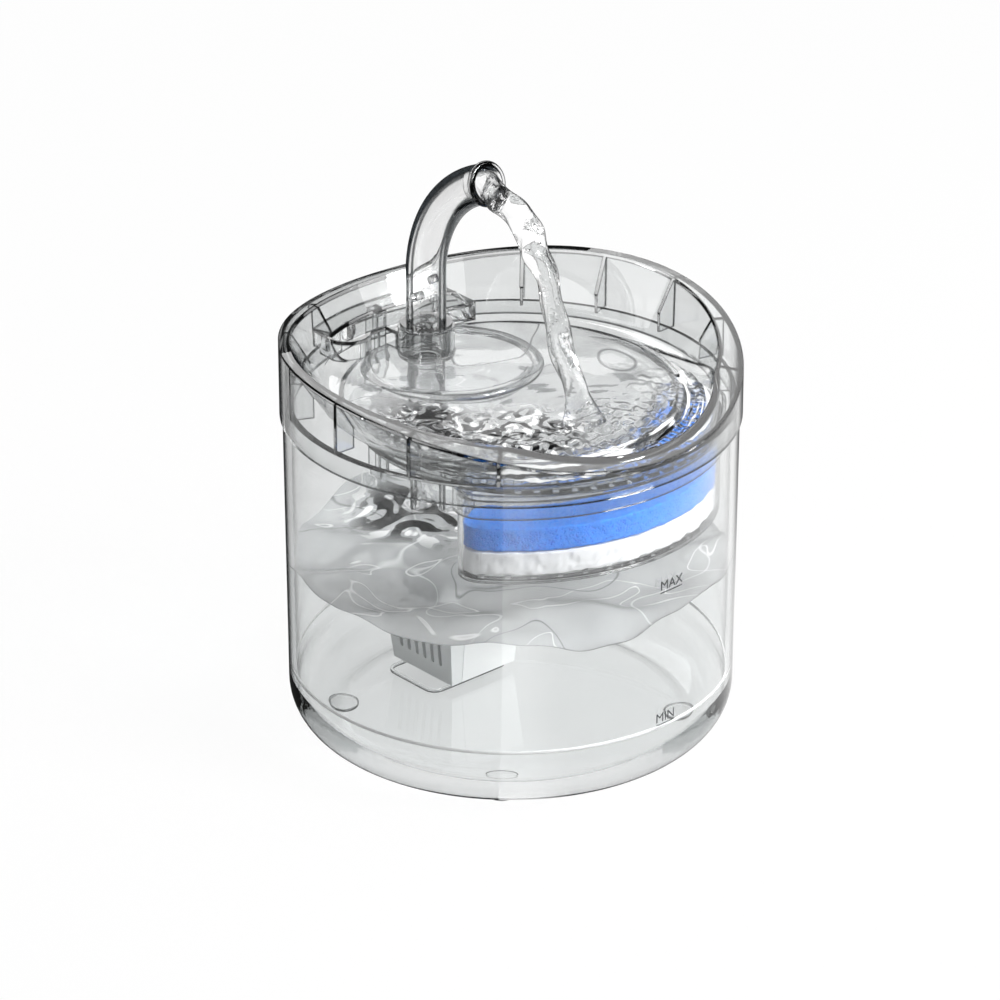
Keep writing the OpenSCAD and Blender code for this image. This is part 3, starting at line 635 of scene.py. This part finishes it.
def tank_water():
    """Body of water: wavy on top, where it climbs a little at the wall, and moulded to the tank's
    inside below."""
    segments, climb, climb_reach = 288, 0.8, 1.2
    swell = Ripples(11, 34, 18, 70, 1.6)
    turn = turns(segments)
    wall = TANK_IN_R + SKIN
    rings = round_surface(
        wall, 110, turn, WATER_Z + float(swell(0, 0)),
        lambda x, y, r: WATER_Z + swell(x, y) + climb * math.exp(-(TANK_IN_R - r) / climb_reach))
    low = wall - LOW_STEP
    rings += [circle(wall, LOW_LINE_Z, turn), circle(low, LOW_LINE_Z, turn)]
    for a in np.radians(np.linspace(0, 90, 16)):
        rings.append(circle(low - SKIN - COVE_R + (COVE_R + SKIN) * math.cos(a),
                            FLOOR_Z + COVE_R - (COVE_R + SKIN) * math.sin(a), turn))
    rings.append([(0.0, 0.0, FLOOR_Z - SKIN)])
    wet_sides(mesh_piece("tank_water", *ring_mesh(rings, segments), TANK_WATER, "tank", angle=60))


def lively_edge(x, y):
    """From 0 to 1: how much the bowl's water is stirred, most near the front edge that it runs over."""
    r, turn = np.hypot(x, y), np.arctan2(y, x)
    near = np.clip((r - (BOWL_R - 30)) / 24, 0, 1) ** 1.5
    ahead = np.clip((np.cos(turn - math.radians(-112)) + 0.25) / 0.9, 0, 1)
    return near * ahead * ahead * (3 - 2 * ahead)


def running_arcs(x, y, pitch, seed):
    """Ridges, mm, that run round the bowl a pitch apart and meander."""
    rng = np.random.default_rng(seed)
    r, turn = np.hypot(x, y), np.arctan2(y, x)
    bend = sum(rng.uniform(0.3, 1.1) * np.sin(n * turn + rng.uniform(0, 6.28)) for n in (2, 3, 5, 8, 13))
    return np.sin(2 * math.pi * (r + bend) / pitch) * (0.7 + 0.3 * np.sin(5 * turn + 1.3))


def bowl_water():
    """Water in the drinking bowl: nearly still at the back, rings where the stream lands, and
    chopped up in the front where it runs over the weir."""
    segments = 384
    swell, chop = Ripples(5, 24, 16, 44, 0.22), Ripples(6, 46, 3.2, 9, 0.36, power=0.7)
    ring_height, ring_fade, ring_pitch, splash_reach = 0.9, 9, 6.5, 17
    arc_height, arc_pitch = 0.55, 6.2
    turn = turns(segments)
    edge = BOWL_R + SKIN

    def height(x, y, _):
        far = np.hypot(x - LANDING[0], y - LANDING[1])
        ring = ring_height * np.exp(-far / ring_fade) * np.cos(2 * math.pi * far / ring_pitch)
        stir = lively_edge(x, y)
        splash = np.exp(-(far / splash_reach) ** 2)
        z = BOWL_WATER_Z + swell(x, y) + ring + (stir + 0.5 * splash) * chop(x, y)
        return z + stir * arc_height * running_arcs(x, y, arc_pitch, 8)

    rings = round_surface(edge, 130, turn, BOWL_WATER_Z, height)
    for a in np.radians(np.linspace(10, 90, 8)):
        rings.append(circle(BOWL_R - BOWL_CORNER + (BOWL_CORNER + SKIN) * math.cos(a),
                            BOWL_Z + BOWL_CORNER - (BOWL_CORNER + SKIN) * math.sin(a), turn))
    rings.append([(0.0, 0.0, BOWL_Z - 0.8 - SKIN)])
    obj = mesh_piece("bowl_water", *ring_mesh(rings, segments), BOWL_WATER, None, angle=60)
    cut_away(obj, ISLAND_R - 1, (0, ISLAND_Y), BOWL_Z - 10, BOWL_Z + 20)
    wet_sides(obj)
    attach(obj, "tray")


def island_water():
    """Water that wells up round the spout's foot: a thin sheet over the flat top, down to the bowl's
    water at its rim."""
    segments, thick, slope, collar_r = 240, 0.5, 4.1, 9.2
    swell = Ripples(17, 20, 9, 30, 0.1)
    turn = turns(segments)
    wide = ISLAND_R + 1.6
    top = ISLAND_Z + thick

    def height(x, y, r):
        down = np.clip((r - wide + slope) / slope, 0, 1)
        return top + swell(x, y) * (1 - down) - (top - BOWL_WATER_Z) * down ** 1.5

    rings = round_surface(wide, 40, turn, top, height, ISLAND_Y)
    rings += [circle(wide - 0.4, BOWL_WATER_Z - 0.5, turn, ISLAND_Y),
              circle(ISLAND_R - 3, ISLAND_Z - 0.2, turn, ISLAND_Y),
              [(0.0, ISLAND_Y, ISLAND_Z - 0.2)]]
    obj = mesh_piece("island_water", *ring_mesh(rings, segments), BOWL_WATER, None, angle=60)
    cut_away(obj, collar_r, (0, SPOUT_Y), ISLAND_Z - 5, ISLAND_Z + 5)
    cut_away(obj, BOWL_R - 0.3, (0, 0), ISLAND_Z - 5, ISLAND_Z + 5, "INTERSECT")
    wet_sides(obj)
    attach(obj, "tray")


def channel_water():
    """Water in the crescent channel, running round to the drain slots in arcs."""
    around, across, depth, overlap = 420, 34, 1.6, 0.1
    chop = Ripples(15, 40, 3, 9, 0.2, power=0.7)
    top, bottom = [], []
    for i in range(around + 1):
        turn = math.radians(-172 + 164 * i / around)
        inner = WEIR_R - overlap
        far = -CHANNEL_SHIFT * math.sin(turn)
        outer = far + math.sqrt(far * far + CHANNEL_R ** 2 - CHANNEL_SHIFT ** 2) + overlap
        r = np.linspace(inner, outer, across)
        x, y = r * math.cos(turn), r * math.sin(turn)
        top.append(points(x, y, CHANNEL_Z + depth + 0.42 * running_arcs(x, y, 4.1, 9) + chop(x, y)))
        bottom.append(points(x, y, CHANNEL_Z - 0.05))
    verts = [p for row in top + bottom for p in row]
    shift, faces = (around + 1) * across, []
    for i in range(around):
        for j in range(across - 1):
            a = i * across + j
            b = a + across
            faces += [(a, a + 1, b + 1, b), (shift + a, shift + b, shift + b + 1, shift + a + 1)]
        for a in (i * across, (i + 1) * across - 1):
            faces.append((a, a + across, shift + a + across, shift + a))
    for row in (0, around * across):
        faces += [(row + j, row + j + 1, shift + row + j + 1, shift + row + j)
                  for j in range(across - 1)]
    wet_sides(mesh_piece("channel_water", verts, faces, RUNNING_WATER, "tray", angle=60))


def weir_water():
    """Thin sheet that slides over the low front edge of the bowl, in strings as it falls."""
    around = 520
    top = [(64.2, 141.7), (65.3, 141.75), (66.3, 141.7), (67.1, 141.45), (67.7, 141.0),
           (68.2, 140.4), (68.8, 139.8), (69.6, 139.3)]
    under = [(69.2, 138.8), (68.2, 138.9), (67.15, 139.1), (67.15, 140.75), (66.0, 140.75),
             (64.9, 140.75), (64.2, 140.9)]
    rng = np.random.default_rng(31)
    strings = [(rng.integers(18, 95), rng.uniform(0, 6.28), rng.uniform(0.4, 1.0)) for _ in range(12)]
    rings = []
    for k, (r, z) in enumerate(top + under):
        ring = []
        for i in range(around + 1):
            t = WEIR_REACH * (2 * i / around - 1)
            turn = math.radians(-90 + t)
            string = sum(w * math.sin(n * math.radians(t) + p + k * 0.25) for n, p, w in strings) / 4
            fade = 1 - (abs(t) / WEIR_REACH) ** 6
            lift = (0.32 * string * fade) if k < len(top) else 0.0
            wide = r + lift * 0.6
            ring.append((wide * math.cos(turn), wide * math.sin(turn), z + lift * 0.7))
        rings.append(ring)
    rows, n = len(rings), around + 1
    verts = [p for ring in rings for p in ring]
    faces = []
    for k in range(rows):
        a, b = k * n, ((k + 1) % rows) * n
        faces += [(a + i, a + i + 1, b + i + 1, b + i) for i in range(around)]
    faces.append([k * n for k in range(rows)])
    faces.append([k * n + around for k in reversed(range(rows))])
    mesh_piece("weir_water", verts, faces, RUNNING_WATER, "tray", angle=50)


def strewn_drops(name, centre, radius, rise, density, smallest, largest, seed, body):
    """Drops or bubbles strewn over a disc and up to rise above it, mm, by Geometry Nodes."""
    tree = bpy.data.node_groups.new(name, "GeometryNodeTree")
    sockets = {}
    tree.interface.new_socket("Geometry", in_out="INPUT", socket_type="NodeSocketGeometry")
    for label, value in (("Drops per square metre", density), ("Smallest", smallest * MM),
                         ("Largest", largest * MM), ("Rise", rise * MM)):
        socket = tree.interface.new_socket(label, in_out="INPUT", socket_type="NodeSocketFloat")
        sockets[socket.identifier] = float(value)
    tree.interface.new_socket("Geometry", in_out="OUTPUT", socket_type="NodeSocketGeometry")
    given = add(tree, "NodeGroupInput").outputs
    strewn = add(tree, "GeometryNodeDistributePointsOnFaces", {"Seed": seed},
                 {"Mesh": given["Geometry"], "Density": given["Drops per square metre"]})
    up = add(tree, "FunctionNodeRandomValue", {8: seed + 1}, {3: given["Rise"]}, data_type="FLOAT")
    high = add(tree, "ShaderNodeCombineXYZ", links={"Z": up.outputs[1]})
    moved = add(tree, "GeometryNodeSetPosition",
                links={"Geometry": strewn.outputs["Points"], "Offset": high})
    ball = add(tree, "GeometryNodeMeshIcoSphere", {"Radius": 1.0, "Subdivisions": 2})
    size = add(tree, "FunctionNodeRandomValue", {8: seed + 2},
               {2: given["Smallest"], 3: given["Largest"]}, data_type="FLOAT")
    drops = add(tree, "GeometryNodeInstanceOnPoints",
                links={"Points": moved, "Instance": ball.outputs["Mesh"], "Scale": size.outputs[1]})
    real = add(tree, "GeometryNodeRealizeInstances", links={0: drops})
    rounded = add(tree, "GeometryNodeSetShadeSmooth", links={0: real})
    dyed = add(tree, "GeometryNodeSetMaterial", {"Material": STREAM_WATER}, {"Geometry": rounded})
    add(tree, "NodeGroupOutput", links={0: dyed})
    disc = bpy.data.meshes.new(name)
    bm = bmesh.new()
    bmesh.ops.create_circle(bm, cap_ends=True, segments=24, radius=radius * MM,
                            matrix=Matrix.Translation([c * MM for c in centre]))
    bm.to_mesh(disc)
    bm.free()
    obj = new_object(name, disc)
    mod = obj.modifiers.new("strew", "NODES")
    mod.node_group = tree
    for identifier, value in sockets.items():
        mod[identifier] = value
    made = final_mesh(obj)
    obj.modifiers.remove(mod)
    obj.data = made
    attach(obj, body)


def water_stream():
    """Rope of water from the spout to the bowl, necked and bulged as it falls. Sizes in mm and s."""
    rng = np.random.default_rng(23)
    steps, around = 150, 40
    speed, gravity, drift, length, inside_spout = 440.0, 9810.0, 10.0, 110, 6
    bend = math.radians(BEND_ANGLE)
    ahead = np.array([0.0, -math.sin(bend), math.cos(bend)])
    start = np.array([0.0, SPOUT_Y - BEND_R + BEND_R * math.cos(bend),
                      BEND_Z + BEND_R * math.sin(bend)]) - ahead * inside_spout
    rise, end_z = ahead[2] * speed, BOWL_WATER_Z - 2
    fall = (rise + math.sqrt(rise ** 2 + 2 * gravity * (start[2] - end_z))) / gravity
    lobes = [(rng.integers(1, 5), rng.uniform(0, 6.28), rng.uniform(9, 30), rng.uniform(-1, 1))
             for _ in range(16)]
    rings = []
    for i in range(steps + 1):
        s = i / steps
        t = fall * s
        centre = start + np.array([drift * t, ahead[1] * speed * t, rise * t - gravity * t * t / 2])
        way = np.array([drift, ahead[1] * speed, rise - gravity * t])
        way = way / np.linalg.norm(way)
        side = np.cross(way, np.array([1.0, 0, 0]))
        side = side / np.linalg.norm(side)
        other = np.cross(way, side)
        down = s * length
        flare = 3.2 * max(0.0, s - 0.93) / 0.07
        radius = 5.9 - 1.6 * s + 0.5 * math.sin(down / 7.0) * s + flare
        grow = min(1.0, s * 5)
        wobble = np.array([0.7 * math.sin(down / 9 + 1), 0.7 * math.sin(down / 12)]) * grow * 1.2
        ring = []
        for j in range(around):
            th = 2 * math.pi * j / around
            bump = sum(0.28 * math.cos(n * th + ph + turn * down / wave * 6.28)
                       for n, ph, wave, turn in lobes)
            r = radius * (1 + 0.32 * grow * bump * 0.6)
            p = centre + side * (r * math.cos(th) + wobble[0]) + other * (r * math.sin(th) + wobble[1])
            ring.append(p.tolist())
        rings.append(ring)
    first, last = np.mean(rings[0], axis=0), np.mean(rings[-1], axis=0)
    rings = [[tuple(first)]] + rings + [[tuple(last)]]
    mesh_piece("water_stream", *ring_mesh(rings, around), STREAM_WATER, "spout")


tank_water()
bowl_water()
island_water()
channel_water()
weir_water()
water_stream()
strewn_drops("splash_drops", (*LANDING, BOWL_WATER_Z + 0.6), 13, 5, 9e4, 0.25, 0.9, 51, "spout")
strewn_drops("tank_bubbles", (-4, 40, WATER_Z - 0.2), 30, 0.5, 1.6e4, 0.3, 1.1, 52, "tank")

# ---------------------------------------------------------------- marks on the tank's wall


def wall_radius(z):
    """Outside radius of the tank's wall at a height, mm."""
    (low_r, low_z), (high_r, high_z) = WALL_LOW, WALL_HIGH
    return low_r + (high_r - low_r) * (z - low_z) / (high_z - low_z)


def level_word(word, z, angle):
    """A printed word, 4 mm tall, with a line under it at height z, wrapped on the tank's wall."""
    gap, line, ink, proud = 1.1, 0.4, 0.04, 0.05
    curve = bpy.data.curves.new(f"level_{word.lower()}", "FONT")
    curve.body, curve.size, curve.align_x, curve.extrude = word, 5.6, "CENTER", ink
    text = new_object(curve.name, curve)
    mesh = final_mesh(text)
    bpy.data.objects.remove(text)
    bm = bmesh.new()
    bm.from_mesh(mesh)
    for v in bm.verts:
        v.co = (v.co + Vector((0, gap, 0))) * MM
    wide = max(v.co.x for v in bm.verts) - min(v.co.x for v in bm.verts)
    bar = bmesh.ops.create_cube(bm, size=1.0)
    for v in bar["verts"]:
        v.co = Vector((v.co.x * wide, v.co.y * line * MM, v.co.z * 2 * ink * MM))
    along = {e for v in bar["verts"] for e in v.link_edges if e.calc_length() > 2 * MM}
    bmesh.ops.subdivide_edges(bm, edges=list(along), cuts=6)
    for v in bm.verts:
        height = z * MM + v.co.y
        r = wall_radius(height / MM) * MM + v.co.z + proud * MM
        turn = math.radians(angle) + v.co.x / r
        v.co = Vector((r * math.cos(turn), r * math.sin(turn), height))
    bmesh.ops.recalc_face_normals(bm, faces=bm.faces)
    bm.to_mesh(mesh)
    bm.free()
    mesh.materials.clear()
    mesh.materials.append(INK)
    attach(new_object(f"level_word_{word.lower()}", mesh), "tank")


def step_highlight_bead():
    """White bead along the step inside the wall: a painted highlight of the step."""
    segments, around, half_width, half_height = 288, 12, 0.28, 0.75
    rings = [circle(LOW_LINE_R + half_width * math.cos(a), LOW_LINE_Z + half_height * math.sin(a),
                    turns(segments)) for a in turns(around)]
    mesh_piece("step_highlight_bead", *ring_mesh(rings + rings[:1], segments), STEP_HIGHLIGHT_WHITE, "tank")


level_word("MAX", 87.6, -88.3)
level_word("MIN", 30.5, -89.6)
step_highlight_bead()

# ---------------------------------------------------------------- studio


def ray_kinds(tree):
    """Light Path's outputs, 1 for a ray that a surface mirrors, and 1 before the first matt surface.
    A ray that glass has bent counts as glossy as well as transmitted."""
    path = add(tree, "ShaderNodeLightPath").outputs
    mirror = add(tree, "ShaderNodeMath",
                 links={0: path["Is Glossy Ray"], 1: path["Is Transmission Ray"]}, operation="SUBTRACT")
    direct = add(tree, "ShaderNodeMath", {1: 0.5}, {0: path["Diffuse Depth"]}, operation="LESS_THAN")
    return path, mirror, direct


def floor_strips(tree):
    """Strip lights on the floor, set out by the angle round from the view: one narrow with a hard
    left edge, one broad and soft at the right."""
    strips = ((-4, -3, 2, 20, 1.3), (34, 100, 130, 160, 1.0))    # degrees on and off, power
    dim = 0.03
    place = add(tree, "ShaderNodeTexCoord")
    turn = math.radians(VIEW_TURN)
    ahead, aside = (add(tree, "ShaderNodeVectorMath", {1: way}, {0: place.outputs["Object"]},
                        operation="DOT_PRODUCT").outputs["Value"]
                    for way in ((math.sin(turn), -math.cos(turn), 0.0),
                                (math.cos(turn), math.sin(turn), 0.0)))
    angle = add(tree, "ShaderNodeMath", links={0: aside, 1: ahead}, operation="ARCTAN2")
    glow = None
    for up_from, up_to, down_from, down_to, power in strips:
        on = add(tree, "ShaderNodeMapRange",
                 {"From Min": math.radians(up_from), "From Max": math.radians(up_to),
                  "To Max": power}, {"Value": angle}, interpolation_type="SMOOTHSTEP")
        off = add(tree, "ShaderNodeMapRange",
                  {"From Min": math.radians(down_to), "From Max": math.radians(down_from)},
                  {"Value": angle}, interpolation_type="SMOOTHSTEP")
        before = {} if glow is None else {2: glow}
        glow = add(tree, "ShaderNodeMath", {2: dim}, {0: on, 1: off, **before},
                   operation="MULTIPLY_ADD")
    return glow


def studio_floor():
    """White floor: plain white to the eye and through glass, apart from a shadow's share of paint,
    and lit only by its strips where a surface mirrors it."""
    mat, tree = new_material("studio_floor")
    path, mirror, direct = ray_kinds(tree)
    paint = add(tree, "ShaderNodeBsdfDiffuse", {"Color": srgb("#F2F2F2")})
    lift = add(tree, "ShaderNodeMath", {1: 0.12, 2: 1.0}, {0: path["Is Transmission Ray"]},
               operation="MULTIPLY_ADD")
    white = add(tree, "ShaderNodeEmission", {"Color": (1, 1, 1, 1)}, {"Strength": lift})
    strips = add(tree, "ShaderNodeEmission", {"Color": (1, 1, 1, 1)},
                 {"Strength": floor_strips(tree)})
    straight = add(tree, "ShaderNodeMath", {1: 0.9}, {0: path["Is Camera Ray"]},
                   operation="MULTIPLY")
    through = add(tree, "ShaderNodeMath", {1: 0.8}, {0: path["Is Transmission Ray"]},
                  operation="MULTIPLY")
    share = add(tree, "ShaderNodeMath", links={0: straight, 1: through}, operation="MAXIMUM")
    share = add(tree, "ShaderNodeMath", links={0: share, 1: direct}, operation="MULTIPLY")
    both = add(tree, "ShaderNodeMixShader", links={0: share, 1: paint, 2: white})
    gloss = add(tree, "ShaderNodeMath", links={0: mirror, 1: direct}, operation="MULTIPLY")
    both = add(tree, "ShaderNodeMixShader", links={0: gloss, 1: both, 2: strips})
    add(tree, "ShaderNodeOutputMaterial", links={"Surface": both})
    bpy.ops.mesh.primitive_plane_add(size=12, location=(0, 0, -0.0005))
    floor = bpy.context.object
    floor.name = "studio_floor"
    floor.data.materials.append(mat)


def studio_surround():
    """A surround that is white only where it's seen, with three soft boxes round the object that
    only reflections show."""
    world = bpy.data.worlds.new("studio_surround")
    bpy.context.scene.world = world
    world.use_nodes = True
    world.cycles.sampling_method = "NONE"
    tree = world.node_tree
    tree.nodes.clear()
    path, mirror, direct = ray_kinds(tree)
    place = add(tree, "ShaderNodeTexCoord")
    axes = add(tree, "ShaderNodeSeparateXYZ", links={0: place.outputs["Generated"]}).outputs
    seen = add(tree, "ShaderNodeMapRange",
               {"From Min": 0.10, "From Max": 0.30, "To Min": 1.0, "To Max": 0.6},
               {"Value": axes["Z"]}, interpolation_type="SMOOTHSTEP")
    turn = add(tree, "ShaderNodeMath", links={0: axes["Y"], 1: axes["X"]}, operation="ARCTAN2")
    third = add(tree, "ShaderNodeMath", {1: 3.0, 2: -3 * math.radians(90 + VIEW_TURN)}, {0: turn},
                operation="MULTIPLY_ADD")
    swing = add(tree, "ShaderNodeMath", links={0: third}, operation="COSINE")
    wide = add(tree, "ShaderNodeMath", {1: -0.1}, {0: swing}, operation="GREATER_THAN")
    over = add(tree, "ShaderNodeMath", {1: 0.34}, {0: axes["Z"]}, operation="GREATER_THAN")
    under = add(tree, "ShaderNodeMath", {1: 0.80}, {0: axes["Z"]}, operation="LESS_THAN")
    box = add(tree, "ShaderNodeMath", links={0: wide, 1: over}, operation="MULTIPLY")
    box = add(tree, "ShaderNodeMath", links={0: box, 1: under}, operation="MULTIPLY")
    mirrored = add(tree, "ShaderNodeMath", {1: 2.6, 2: 0.04}, {0: box}, operation="MULTIPLY_ADD")
    sharp = add(tree, "ShaderNodeMix", links={"Factor": mirror, "A": seen, "B": mirrored},
                data_type="FLOAT")
    sight = add(tree, "ShaderNodeMath",
                links={0: path["Is Glossy Ray"], 1: path["Is Transmission Ray"]}, operation="MAXIMUM")
    sight = add(tree, "ShaderNodeMath", links={0: sight, 1: direct}, operation="MULTIPLY")
    light = add(tree, "ShaderNodeMix", {"A": 0.42}, {"Factor": sight, "B": sharp},
                data_type="FLOAT")
    final = add(tree, "ShaderNodeMix", {"B": 1.0}, {"Factor": path["Is Camera Ray"], "A": light},
                data_type="FLOAT")
    back = add(tree, "ShaderNodeBackground", {"Color": (1, 1, 1, 1)}, {"Strength": final})
    add(tree, "ShaderNodeOutputWorld", links={"Surface": back})


def studio_lamps():
    """Soft square lamps turned to the object: side in m, power in W, place."""
    for name, side, power, place in (
        ("soft_key", 0.8, 40, (0.55, -1.5, 1.3)),
        ("soft_fill", 1.1, 1, (-1.5, -0.5, 1.0)),
        ("soft_back", 1.0, 8, (0.3, 1.4, 1.3)),
    ):
        lamp = bpy.data.lights.new(name, "AREA")
        lamp.shape, lamp.size, lamp.size_y, lamp.energy = "RECTANGLE", side, side, power
        obj = new_object(name, lamp)
        obj.location = place
        aim = Vector((0, 0, 0.1)) - obj.location
        obj.rotation_euler = aim.to_track_quat("-Z", "Y").to_euler()


def camera():
    """Long lens from above, round to the left of the front."""
    turn, rise = math.radians(VIEW_TURN), math.radians(VIEW_RISE)
    back = Vector((math.sin(turn) * math.cos(rise), -math.cos(turn) * math.cos(rise),
                   math.sin(rise)))
    right = Vector((math.cos(turn), math.sin(turn), 0))
    up = back.cross(right)
    eye = Vector((0, 0, VIEW_CENTRE_Z)) + back * VIEW_DISTANCE
    aside, above = (px / PX_PER_M for px in VIEW_SHIFT_PX)
    aim = eye - back * VIEW_DISTANCE + right * aside + up * above
    data = bpy.data.cameras.new("camera")
    data.lens = PX_PER_M * VIEW_DISTANCE / 1000 * data.sensor_width
    cam = new_object("camera", data)
    cam.location = eye
    cam.rotation_euler = (aim - eye).to_track_quat("-Z", "Y").to_euler()
    bpy.context.scene.camera = cam


studio_floor()
studio_surround()
studio_lamps()
camera()

scene = bpy.context.scene
scene.view_settings.view_transform = "Standard"
scene.cycles.max_bounces = 24
scene.cycles.transmission_bounces = 24
scene.cycles.transparent_max_bounces = 32
scene.cycles.glossy_bounces = 8
